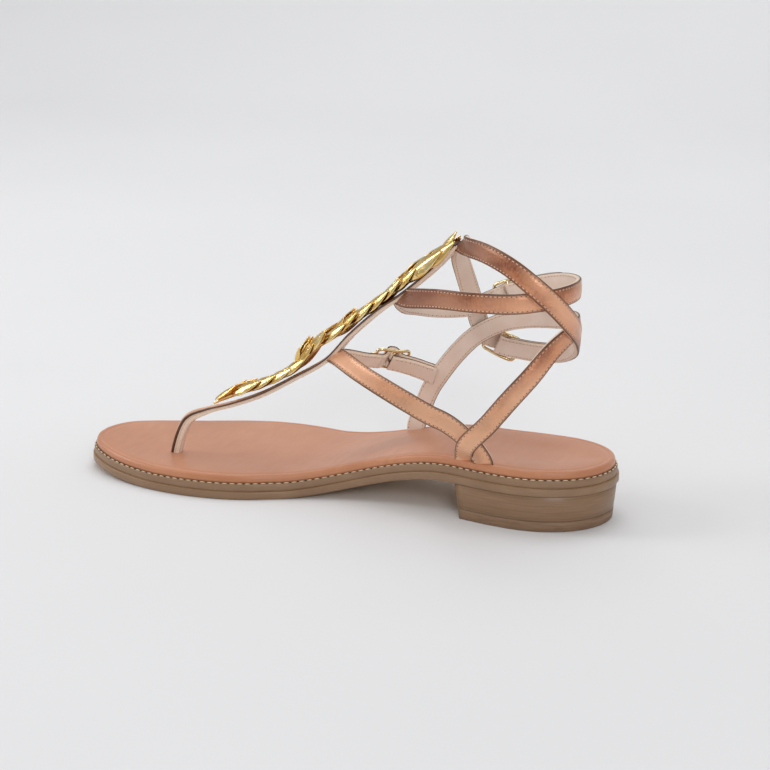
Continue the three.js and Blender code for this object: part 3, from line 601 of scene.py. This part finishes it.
def tail_band(line, share, way, length):
    """The free end of a buckled strap: over the centre bar, under the rear bar, then its point.
    Rows of its shape: share of its length, how far it rises towards the bar's top, and its width."""
    shape = np.array([
        (-0.3, 0, 0.98), (-0.22, 0.04, 1), (-0.12, 0.5, 1), (-0.05, 0.95, 1), (0.04, 1, 1), (0.13, 0.55, 1),
        (0.22, 0.06, 1), (0.4, 0, 1), (0.6, 0, 1), (0.76, 0, 1), (0.9, 0.12, 0.95), (0.96, 0.2, 0.8),
        (1.0, 0.25, 0.45)])
    fine = np.linspace(-TAIL_BEHIND, 1, 70)
    smooth = curve_through(shape, 400)[0]
    rise, wide = read_off(fine, smooth[:, 0], smooth[:, 1:]).T
    base = np.interp(fine, [-0.16, 0.04], [0.06, TAIL_REST])
    centre, along, out, side = frames_at(line, share * line["length"] + way * fine * length)
    side = side * way
    centre = centre + out * (base + (TAIL_OVER_BAR - base) * rise)[:, None]
    along = course(centre)
    out = unit(np.cross(along, side))
    return band((fine - fine[0]) * length, (centre, along, out, side), wide)


bar_run = np.linspace(0, bar_line["length"], 170)
post = np.clip((bar_run / bar_line["length"] - 0.78) / 0.12, 0, 1)
post = post * post * (3 - 2 * post)
bands = {"bar": band(bar_run, frames_at(bar_line, bar_run),
                     (BAR_WIDTH + (POST_WIDTH - BAR_WIDTH) * post) / STRAP_WIDTH,
                     1 + (POST_DEPTH / STRAP_THICKNESS - 1) * post),
         "sling": cut_band(sling_line, 0, sling_line["length"])}
for name, (line, share, way, length) in buckled.items():
    root, anchor = (share * line["length"] - way * gap for gap in (TAIL_ROOT, ANCHOR_END))
    if line["closed"]:
        bands[name] = cut_band(line, root, anchor + line["length"])
    else:
        bands[name] = cut_band(line, 0, root)
        bands[name + "_anchor"] = cut_band(line, anchor, line["length"])
    bands[name + "_tail"] = tail_band(line, share, way, length)

SEAM_INSET = 0.95
# Half sections as rows of distance across and out, and the material of the face that starts there
leather_half = [(0, 1.36, 0), (0.8, 1.35, 0), (1.5, 1.31, 0), (2.1, 1.23, 0), (HALF - 1.45, 1.1, 0),
                (HALF - SEAM_INSET, 0.95, 0), (HALF - 0.7, 1.03, 0), (HALF - 0.35, 1.0, 0),
                (HALF - 0.08, 0.88, 1), (HALF + 0.12, 0.66, 1), (HALF + 0.14, 0.42, 1),
                (HALF - 0.03, 0.26, 2), (HALF - 0.1, -0.12, 0)]
lining_half = [(0, -0.08, 0), (HALF - 0.2, -0.08, 1), (HALF - 0.1, -0.2, 1), (HALF - 0.1, -0.6, 1),
               (HALF - 0.16, -0.94, 1), (HALF - 0.35, -1.08, 0), (HALF - SEAM_INSET, -1.02, 0),
               (HALF - 1.7, -1.1, 0), (1.4, -1.12, 0), (0, -1.12, 0)]


def full_section(half):
    """A whole section from its half, with the material of each face between two of its points."""
    left = [(-s, o) for s, o, _ in half[::-1] if s > 0]
    marks = [m for _, _, m in half[:-1]]
    closing = [0] if half[-1][0] > 0 else []
    return np.array([(s, o) for s, o, _ in half] + left), marks + closing + marks[::-1]


def band_mesh(name, half, bands, materials):
    """Sweeps a section along every band into one piece, with millimetres along and across as UV."""
    ring, marks = full_section(half)
    size = len(ring)
    points, faces, slots, uvs = [], [], [], []
    start = 0
    for b in bands.values():
        count = len(b["run"])
        for i in range(count):
            s = ring[:, :1] * b["width"][i]
            o = ring[:, 1:] * b["thick"][i]
            points.append(b["centre"][i] + b["side"][i] * s + b["out"][i] * o)
        for face in wall(count, size):
            faces.append(tuple(start + v for v in face))
            uvs += [(b["run"][v // size] + start, ring[v % size, 0]) for v in face]
        end = start + count * size
        faces += [tuple(range(start, start + size))[::-1], tuple(range(end - size, end))]
        slots += marks * (count - 1) + [1, 1]
        uvs += [(0.0, 0.0)] * 2 * size
        start = end
    return new_piece(name, np.vstack(points), faces, materials, slots, uvs)


# Burnished metallic leather: copper to rose brown, rubbed darker in patches and burnished darker outside
# the seams, with a metal foil under the wax. Lighter low down towards the sole is painted light, and
# darker on the ankle straps towards the bar is painted shade.
strap_leather, tree, shader = finish_named("burnished metallic strap leather", 0.34, metallic=0.35, coat=0.3)
place = add(tree, "ShaderNodeUVMap", {"uv_map": "UVMap"})


def along_strap(per_mm_along, per_mm_across, low, high, detail=3.0):
    """Noise that follows the strap, with its own grain along it and across it."""
    where = add(tree, "ShaderNodeMapping", links={"Vector": place, "Scale": (per_mm_along, per_mm_across, 1)})
    return blotches(tree, 1.0, detail, low, high, where=where)


streaks = along_strap(1.1, 0.45, 0.34, 0.68)
patches = along_strap(0.085, 0.2, 0.38, 0.62)
tones = along_strap(0.026, 0.03, 0.42, 0.58, 1.0)
grain = blotches(tree, 0.45, 3.0, 0.3, 0.7)
across = add(tree, "ShaderNodeSeparateXYZ", links={"Vector": place}).outputs["Y"]
across = add(tree, "ShaderNodeMath", {"operation": "ABSOLUTE"}, {0: across})
axes = add(tree, "ShaderNodeSeparateXYZ", links={"Vector": millimetres(tree)}).outputs
forwards_up = add(tree, "ShaderNodeMath", {"operation": "ADD"}, {0: axes["X"], 1: axes["Z"]})
# Each tone comes in between two places in millimetres: painted light down the strap, painted shade towards
# the bar, and the burnish at its rim
lower, shade_towards_bar, above, rim = (
    add(tree, "ShaderNodeMapRange", links={"Value": at, "From Min": none, "From Max": full})
    for at, none, full in ((axes["Z"], 74.0, 48.0), (forwards_up, 106.0, 152.0), (axes["Z"], 62.0, 76.0),
                           (across, HALF - 0.95, HALF - 0.3)))
# F5C6A0 low down is painted light, and 6E3312 on the ankle straps towards the bar is painted shade.
dyed(tree, shader, "8E4A29", (patches, "CE8154"), (tones, "EDB08A"), (product(tree, lower, 0.5), "F5C6A0"),
     (product(tree, streaks, 0.36), "EDAE88"), (product(tree, shade_towards_bar, above, 0.85), "6E3312"),
     (product(tree, rim, 0.75), "63361F"))
gloss = add(tree, "ShaderNodeMapRange", links={"Value": patches, "To Min": 0.4, "To Max": 0.27})
tree.links.new(gloss.outputs["Result"], shader.inputs["Roughness"])
relief(tree, shader, streaks, 0.06, relief(tree, shader, grain, 0.03))

# Painted edge: dark brown and satin, a little uneven where the brush ran.
painted_edge = two_toned("painted strap edge", 0.45, ("452A1B", "5E3D29"), 0.04, 1.2)

# Lining leather: nude, smooth and soft, with a fine grain and faint clouds.
lining_leather, tree, shader = finish_named("nude lining leather", 0.5, sheen=0.15)
fine = blotches(tree, 0.6, 3.0, 0.3, 0.7)
dyed(tree, shader, "E6D0BF", (blotches(tree, 9.0), "F1E1D4"), (fine, "EAD7C8"))
relief(tree, shader, fine, 0.03)

# The lining's cut edge is its pale raw core.
lining_edge = two_toned("cut lining edge", 0.7, ("E3C8B0", "F0DBC7"), 0.03, 0.5)

worn(band_mesh("strap_leather", leather_half, bands, [strap_leather, painted_edge, lining_edge]),
     "strap_leather", "upper")
worn(band_mesh("strap_lining", lining_half, bands, [lining_leather, lining_edge]), "strap_leather")

SEAM_PITCH, SEAM_START = 1.95, 1.5


def seam_rows(face, height, first, sewn_bands):
    """Every second point of the seams on the outer face (1) or the lining (-1), from the first or next."""
    seams = []
    for b in sewn_bands:
        length = b["run"][-1]
        count = int((length - 2 * SEAM_START) / SEAM_PITCH) * 2
        where = np.linspace(SEAM_START, length - SEAM_START, count + 1)[first:count:2]
        centre, along, out, side = (read_off(where, b["run"], b[key])
                                    for key in ("centre", "along", "out", "side"))
        wide, thick = (np.interp(where, b["run"], b[key])[:, None] for key in ("width", "thick"))
        for edge in (-1, 1):
            at = centre + side * edge * (HALF - SEAM_INSET) * wide + out * face * height * thick
            seams.append((at, along, face * out))
    return [np.vstack(column) for column in zip(*seams)]


for face, height, label, stitch in ((1, 1.0, "outer", (1.4, 0.46, 0.4)),
                                    (-1, 1.02, "lining", (1.3, 0.4, 0.26))):
    sewn_bands = [b for name, b in bands.items() if name != "bar" or face < 0]
    for kind, first, size, material in (("stitches", 0, stitch, strap_thread),
                                        ("needle_holes", 1, (0.45, 0.45, 0.18), needle_hole)):
        seams = seam_rows(face, height, first, sewn_bands)
        worn(sewn(f"strap_{kind}_{label}", *seams, size, material), "strap_leather")


# LEAF TRIM. A chain of pressed brass laurel leaves, gold plated and polished, on a thin stem.
# It is held on the bar where the straps meet it and stands off between them, tips free.
leaf_rows = [(0.005, 0), (0.08, 0.04), (0.17, 0.25), (0.27, 0.1), (0.36, 0.33), (0.41, 0.62), (0.46, 1),
             (0.5, 0.9), (0.54, 0.5), (0.59, 0.24), (0.65, 0.3), (0.71, 0.38), (0.76, 0.36), (0.81, 0.04)]
LEAF_SEAT, LEAF_STAND = 1.95, 5.2
LEAF_LENGTH, LEAF_PITCH = 15.0, 8.6


def frame_at(line, place):
    """What frames_at gives, for one distance."""
    return [v[0] for v in frames_at(line, np.array([place]))]


stem_points = []
for at, stand in leaf_rows:
    centre, _, out, _ = frame_at(bar_line, at * bar_line["length"])
    stem_points.append(centre + out * (LEAF_SEAT + stand * LEAF_STAND))
stem_line = strap_line(stem_points, 0.1, 0.1, -0.6)

# Polished gold plate: warm and bright, with the faint dents that the press leaves in each leaf.
gold_plate, tree, shader = finish_named("polished gold plate", 0.24, metallic=1.0)
dyed(tree, shader, "EBBF6C", (blotches(tree, 6.0), "FBE2A4"))
relief(tree, shader, blotches(tree, 1.5, 2.0, 0.3, 0.7), 0.05)


def curved(tree, value, points):
    """A value led through a smooth curve with the given points."""
    node = add(tree, "ShaderNodeFloatCurve", links={"Value": value})
    line = node.mapping.curves[0].points
    line[0].location, line[1].location = points[0], points[-1]
    for point in points[1:-1]:
        line.new(*point)
    node.mapping.update()
    return node


def leaf_blade(tree, enter):
    """One leaf: fullest before its middle, pointed, ribbed, cupped and curled up at its tip. It is
    shaped from a flat grid and given its thickness."""
    flat = add(tree, "GeometryNodeMeshGrid",
               links={"Size X": 1.0, "Size Y": 2.0, "Vertices X": 17, "Vertices Y": 11})
    place = add(tree, "GeometryNodeInputPosition")
    place = add(tree, "ShaderNodeSeparateXYZ", links={"Vector": place}).outputs
    along = add(tree, "ShaderNodeMath", {"operation": "ADD"}, {0: place["X"], 1: 0.5})
    half = curved(tree, along, [(0, 0.16), (0.08, 0.3), (0.22, 0.44), (0.38, 0.5), (0.58, 0.43),
                                (0.78, 0.26), (0.92, 0.11), (1, 0.01)])
    off_rib = add(tree, "ShaderNodeMath", {"operation": "ABSOLUTE"}, {0: place["Y"]})
    rounded = curved(tree, off_rib, [(0, 1.0), (0.1, 0.8), (0.22, 0.78), (0.6, 0.52), (1, 0.0)])
    bend = add(tree, "ShaderNodeMath", {"operation": "POWER"}, {0: along, 1: 2.4})
    height = add(tree, "ShaderNodeMath", {"operation": "ADD"},
                 {0: product(tree, rounded, half, enter["Cup"]), 1: product(tree, bend, enter["Curl"])})
    shaped = add(tree, "ShaderNodeCombineXYZ", links={
        "X": product(tree, along, enter["Length"]), "Y": product(tree, place["Y"], half, enter["Width"]),
        "Z": height})
    blade = add(tree, "GeometryNodeSetPosition", links={"Geometry": flat, "Position": shaped})
    thick = add(tree, "GeometryNodeExtrudeMesh",
                links={"Mesh": blade, "Offset Scale": enter["Thickness"], "Individual": False})
    under = add(tree, "GeometryNodeFlipFaces", links={"Mesh": blade})
    both = add(tree, "GeometryNodeJoinGeometry")
    for side in (thick, under):
        tree.links.new(side.outputs["Mesh"], both.inputs["Geometry"])
    return add(tree, "GeometryNodeMergeByDistance",
               links={"Geometry": both, "Distance": 0.00001})


LEAF_SIZES = ("Length", "Width", "Cup", "Curl", "Thickness")
leaf_tree = laid_tree("Laurel leaves", LEAF_SIZES, leaf_blade)


def leaf_place(at, hand, spread, lift, roll, out_from_stem, off_side, size):
    """A leaf on the stem: its root, the way its tip points, the way its face looks, its size.
    Angles are in degrees: out to its side, up from the stem, and down over the bar's edge."""
    centre, along, out, side = frame_at(stem_line, at)
    spread, lift, roll = (math.radians(a) for a in (spread, lift, roll))
    outward = -side * hand
    tip = math.cos(lift) * (math.cos(spread) * -along + math.sin(spread) * outward) + math.sin(lift) * out
    level = np.cross(tip, outward)
    level *= np.sign(level @ out) / np.linalg.norm(level)
    beside = np.cross(level, tip)
    beside *= np.sign(beside @ outward)
    face = level * math.cos(roll) + beside * math.sin(roll)
    return centre + out * out_from_stem + outward * off_side, tip, face, [size]


def leaf_piece(name, leaves, *sizes):
    """Leaves of one kind, with the tree's sizes in millimetres."""
    sizes = {key: size / 1000 for key, size in zip(LEAF_SIZES, sizes)}
    return laid_out(name, leaf_tree, *zip(*leaves), Material=gold_plate, **sizes)


# The ruffle repeats along the stem: how far each leaf stands up, in degrees, and its size
ruffle = [(2, 1.0), (5, 0.93), (1, 1.06), (7, 0.9), (3, 1.0), (5, 0.96)]
narrow, broad, upright = [], [], []
pairs = int((stem_line["length"] - LEAF_LENGTH) / LEAF_PITCH)
for i in range(pairs + 1):
    for hand in (1, -1):
        at = LEAF_LENGTH * 0.75 + i * LEAF_PITCH + hand * LEAF_PITCH * 0.25
        lift, size = ruffle[(2 * i + (hand < 0)) % len(ruffle)]
        if i in (1, 2):
            broad.append(leaf_place(at, hand, 7, 3, 50, 0.8, 1.5, size))
        else:
            narrow.append(leaf_place(at, hand, 9, lift, 42, 0.4, 0.9, size))
    for half in (0.25, 0.75):
        at = LEAF_LENGTH * 0.75 + (i + half) * LEAF_PITCH
        lift, size = ruffle[(4 * i + int(half * 4)) % len(ruffle)]
        if at < stem_line["length"]:
            upright.append(leaf_place(at, 1 if half < 0.5 else -1, 7, lift, 20, 1.1, 0.3, size))
# Four tufts have their tips bent off the chain: distance from its lower end, and the lifts
for from_end, lifts in ((47, (24, 15, 30)), (60, (9, 15, 5)), (72, (15, 9, 19)), (104, (11, 6, 14))):
    for hand, lift, more, size in zip((1, 1, -1), lifts, (0, 2.2, -2.0), (0.95, 0.85, 0.7)):
        at = stem_line["length"] - from_end - more
        upright.append(leaf_place(at, hand, 7, lift, 58, 0.9, 0.3, size))
worn(leaf_piece("gold_leaves_broad", broad, 22.5, 8.4, 3.2, 0.4, 0.4), "gold_leaf", "leaf_trim")
worn(leaf_piece("gold_leaves_narrow", narrow, 16.5, 5.8, 2.2, 0.5, 0.4), "gold_leaf")
worn(leaf_piece("gold_leaves_upright", upright, 13.5, 4.2, 1.9, 0.7, 0.4), "gold_leaf")


def wire(points, radius, closed, across, sides=14):
    """Points and faces of a round wire along points. across: a direction that it never takes."""
    points = np.asarray(points, float)
    along = course(points, closed)
    side = unit(np.cross(along, across))
    out = np.cross(side, along)
    angle = np.linspace(0, 2 * math.pi, sides, endpoint=False)
    radii = np.broadcast_to(radius, len(points))
    rings = [p + np.outer(r * np.cos(angle), s) + np.outer(r * np.sin(angle), o)
             for p, s, o, r in zip(points, side, out, radii)]
    size = len(points) * sides
    faces = [(i + j, (i + sides) % size + j, (i + sides) % size + k, i + k)
             for i in range(0, size if closed else size - sides, sides)
             for j, k in zip(range(sides), [*range(1, sides), 0])]
    if not closed:
        faces += [tuple(range(sides)), tuple(range(size - sides, size))[::-1]]
    return np.vstack(rings), faces


STEM_STEPS = 160
stem_run = frames_at(stem_line, np.linspace(0.5, stem_line["length"] - 0.5, STEM_STEPS))[0]
stem_size = np.interp(np.linspace(0, 1, STEM_STEPS), [0, 0.03, 0.95, 1], [0.4, 1.0, 1.0, 0.4])
worn(new_piece("gold_stem", *wire(stem_run, stem_size, False, [0, 1, 0]), [gold_plate]), "gold_leaf")


# BUCKLES. Cast frames of 1.5 mm brass wire with a centre bar and a bent pin, plated pale gold.
# The strap's end rises over the centre bar and goes under the rear bar, which holds it down.
FRAME_LENGTH, FRAME_CORNER, WIRE, PIN_WIRE = 15.5, 2.2, 1.5, 1.1
FRAME_ACROSS = STRAP_WIDTH / 2 + 0.5 + WIRE / 2
REAR_BAR = 4.02
HOOK = 1.6

# Pale gold plate: cooler and lighter than the leaves, with light polishing marks.
pale_plate = two_toned("pale gold plated brass", 0.2, ("E8CF96", "F7E6BE"), 0.02, 0.9, 2.0, 0.3, 0.7,
                       metallic=1.0)

loop = []
for sx, sy in ((1, 1), (-1, 1), (-1, -1), (1, -1)):
    for i in range(9):
        turn = math.pi / 16 * (i if sx * sy > 0 else 8 - i)
        loop.append((sx * (FRAME_LENGTH / 2 - FRAME_CORNER * (1 - math.cos(turn))),
                     sy * (FRAME_ACROSS - FRAME_CORNER * (1 - math.sin(turn)))))
frame_points = []
for (x0, y0), (x1, y1) in zip(loop, loop[1:] + loop[:1]):
    count = max(1, math.ceil(math.hypot(x1 - x0, y1 - y0) / 0.8))
    for k in range(count):
        x, y = x0 + (x1 - x0) * k / count, y0 + (y1 - y0) * k / count
        rise = min(1, max(0, x / (FRAME_LENGTH / 2)))
        frame_points.append((x, y, LOW_BAR + (REAR_BAR - LOW_BAR) * rise * rise * (3 - 2 * rise)))
rest = LOW_BAR + WIRE / 2 + 0.3 + PIN_WIRE / 2
pin_points = [(HOOK * math.cos(t * math.pi), 0, LOW_BAR + HOOK * math.sin(t * math.pi))
              for t in (-0.15, 0.08, 0.3, 0.5, 0.62)]
pin_points += [(-FRAME_LENGTH / 2 + WIRE, 0, rest), (-FRAME_LENGTH / 2 - 1.6, 0, rest)]
pin_points = curve_through(pin_points, 40)[0]
for name, (line, share, way, _) in buckled.items():
    centre, along, out, side = frame_at(line, share * line["length"])
    axes = np.array([along * way, side * way, out])
    shape, faces = wire(frame_points, WIRE / 2, True, [0, 0, 1])
    bar_shape, bar_faces = wire([(0, y * FRAME_ACROSS, LOW_BAR) for y in (-1, 0, 1)], WIRE / 2 * 0.95,
                                False, [0, 0, 1])
    faces = faces + [tuple(v + len(shape) for v in face) for face in bar_faces]
    buckle = new_piece(f"{name}_buckle", np.vstack([shape, bar_shape]) @ axes + centre, faces, [pale_plate])
    worn(buckle, "buckle_metal", f"buckle_frame_{name}")
    tip = np.interp(np.linspace(0, 1, 41), [0, 0.04, 0.9, 1], [0.4, 0.55, 0.52, 0.36])
    shape, faces = wire(pin_points, tip, False, [0, 1, 0])
    pin = new_piece(f"{name}_pin", shape @ axes + centre, faces, [pale_plate])
    worn(pin, "buckle_metal", f"buckle_pin_{name}")


# BUCKLE FOLDS. The strap that holds a buckle is skived thin and turned outwards round its centre
# bar, so that its lining shows, in two tongues with a slot between them for the pin.
fold_turns = np.radians(np.linspace(-100, -315, 22))
FOLD_RADIUS, FOLD_THICKNESS, FOLD_LENGTH = 1.28, 0.8, 5.0
TONGUE_WIDTH, TONGUE_OFF = 3.0, 2.55
fold_bands = {}
for name, (line, share, way, _) in buckled.items():
    centre, along, out, side = frame_at(line, share * line["length"])
    face = np.outer(np.cos(fold_turns), along * way) + np.outer(np.sin(fold_turns), out)
    for hand in (1, -1):
        path = centre + out * LOW_BAR + face * FOLD_RADIUS + side * way * hand * TONGUE_OFF
        towards = course(path)
        fold_bands[f"{name}_{hand}"] = band(
            np.linspace(0, FOLD_LENGTH, len(path)), (path, towards, face, np.cross(face, towards)),
            TONGUE_WIDTH / STRAP_WIDTH, FOLD_THICKNESS / STRAP_THICKNESS)
fold_half = [(0, 1.1, 0), (HALF - 0.8, 1.1, 0), (HALF - 0.2, 0.9, 1), (HALF, 0.2, 1), (HALF - 0.1, -0.9, 1),
             (HALF - 0.6, -1.1, 0), (0, -1.1, 0)]
worn(band_mesh("buckle_folds", fold_half, fold_bands, [lining_leather, lining_edge]), "strap_leather")


# PUNCHED HOLES. Round holes for the pin, 1.6 mm wide and about 5.4 mm apart, three in each long
# free end and two in the short one.
HOLE_HEIGHT = 1.33
holes = []
for name, (_, _, _, reach) in buckled.items():
    tail = bands[name + "_tail"]
    for distance in (0.42, 0.6, 0.78) if reach > 25 else (0.5, 0.76):
        i = np.argmin(abs(tail["run"] - (distance + TAIL_BEHIND) * reach))
        holes.append((tail["centre"][i] + tail["out"][i] * HOLE_HEIGHT, tail["along"][i], tail["out"][i]))
# Each punched hole is a dark disc of the needle hole finish on the strap's face: painted shade for the hole's
# depth.
worn(sewn("punched_holes", *zip(*holes), (1.6, 1.6, 0.16), needle_hole), "strap_leather")


# STUDIO. A seamless pale sweep under one large soft light above, with two smaller ones from behind
# the toe and the heel. The camera has the photograph's angle to the sandal, 16 degrees above the floor.
sweep_rows = [(-1.2, 0)] + [(0.9 + 0.6 * math.sin(a), 0.6 - 0.6 * math.cos(a))
                            for a in np.linspace(0, math.pi / 2, 24)] + [(1.5, 2.2)]
sweep_points = [(x, -distance * 1000, height * 1000)
                for distance, height in sweep_rows for x in (-2500, 2500)]
sweep_faces = [(i, i + 1, i + 3, i + 2) for i in range(0, len(sweep_points) - 2, 2)]
paper = two_toned("matt paper sweep", 0.9, ("E3E3E4", "E6E6E7"), 0, 400.0)
sweep = new_piece("paper_sweep", sweep_points, sweep_faces, [paper])


def set_up(name, data, place, look):
    """Puts a light or the camera at its place, looking that way."""
    stand = bpy.data.objects.new(name, data)
    stand.location = place
    stand.rotation_mode = "QUATERNION"
    stand.rotation_quaternion = look.to_track_quat("-Z", "Y")
    bpy.context.scene.collection.objects.link(stand)
    return stand


for label, place, aim, size, power in (
        ("overhead", (0.2, -0.65, 1.5), (0.08, -0.1, 0.05), 1.2, 9.5),
        ("toe_side", (1.45, 0.3, 0.75), (0.08, 0, 0.05), 0.5, 6.5),
        ("heel_side", (-0.8, 1.5, 0.9), (0.05, 0, 0.05), 0.5, 8.0)):
    lamp = bpy.data.lights.new(label, "AREA")
    lamp.energy, lamp.size = power, size
    set_up(label, lamp, place, Vector(aim) - Vector(place))
world = bpy.data.worlds.new("studio")
world.use_nodes = True
tree = world.node_tree
way = add(tree, "ShaderNodeTexCoord").outputs["Generated"]
height = add(tree, "ShaderNodeSeparateXYZ", links={"Vector": way}).outputs["Z"]
height = add(tree, "ShaderNodeMapRange", links={"Value": height, "From Min": -0.1, "From Max": 0.8})
background = tree.nodes["Background"]
dyed(tree, background, "B9BCC2", (height, "FFFFFF"))
background.inputs["Strength"].default_value = 0.58
bpy.context.scene.world = world
bpy.context.scene.view_settings.view_transform = "Standard"

lens = bpy.data.cameras.new("camera")
lens.lens = 107.53
camera = set_up("camera", lens, (-0.2576, 0.9108, 0.3278), Vector((0.3288, -0.9033, -0.2756)))
bpy.context.scene.camera = camera
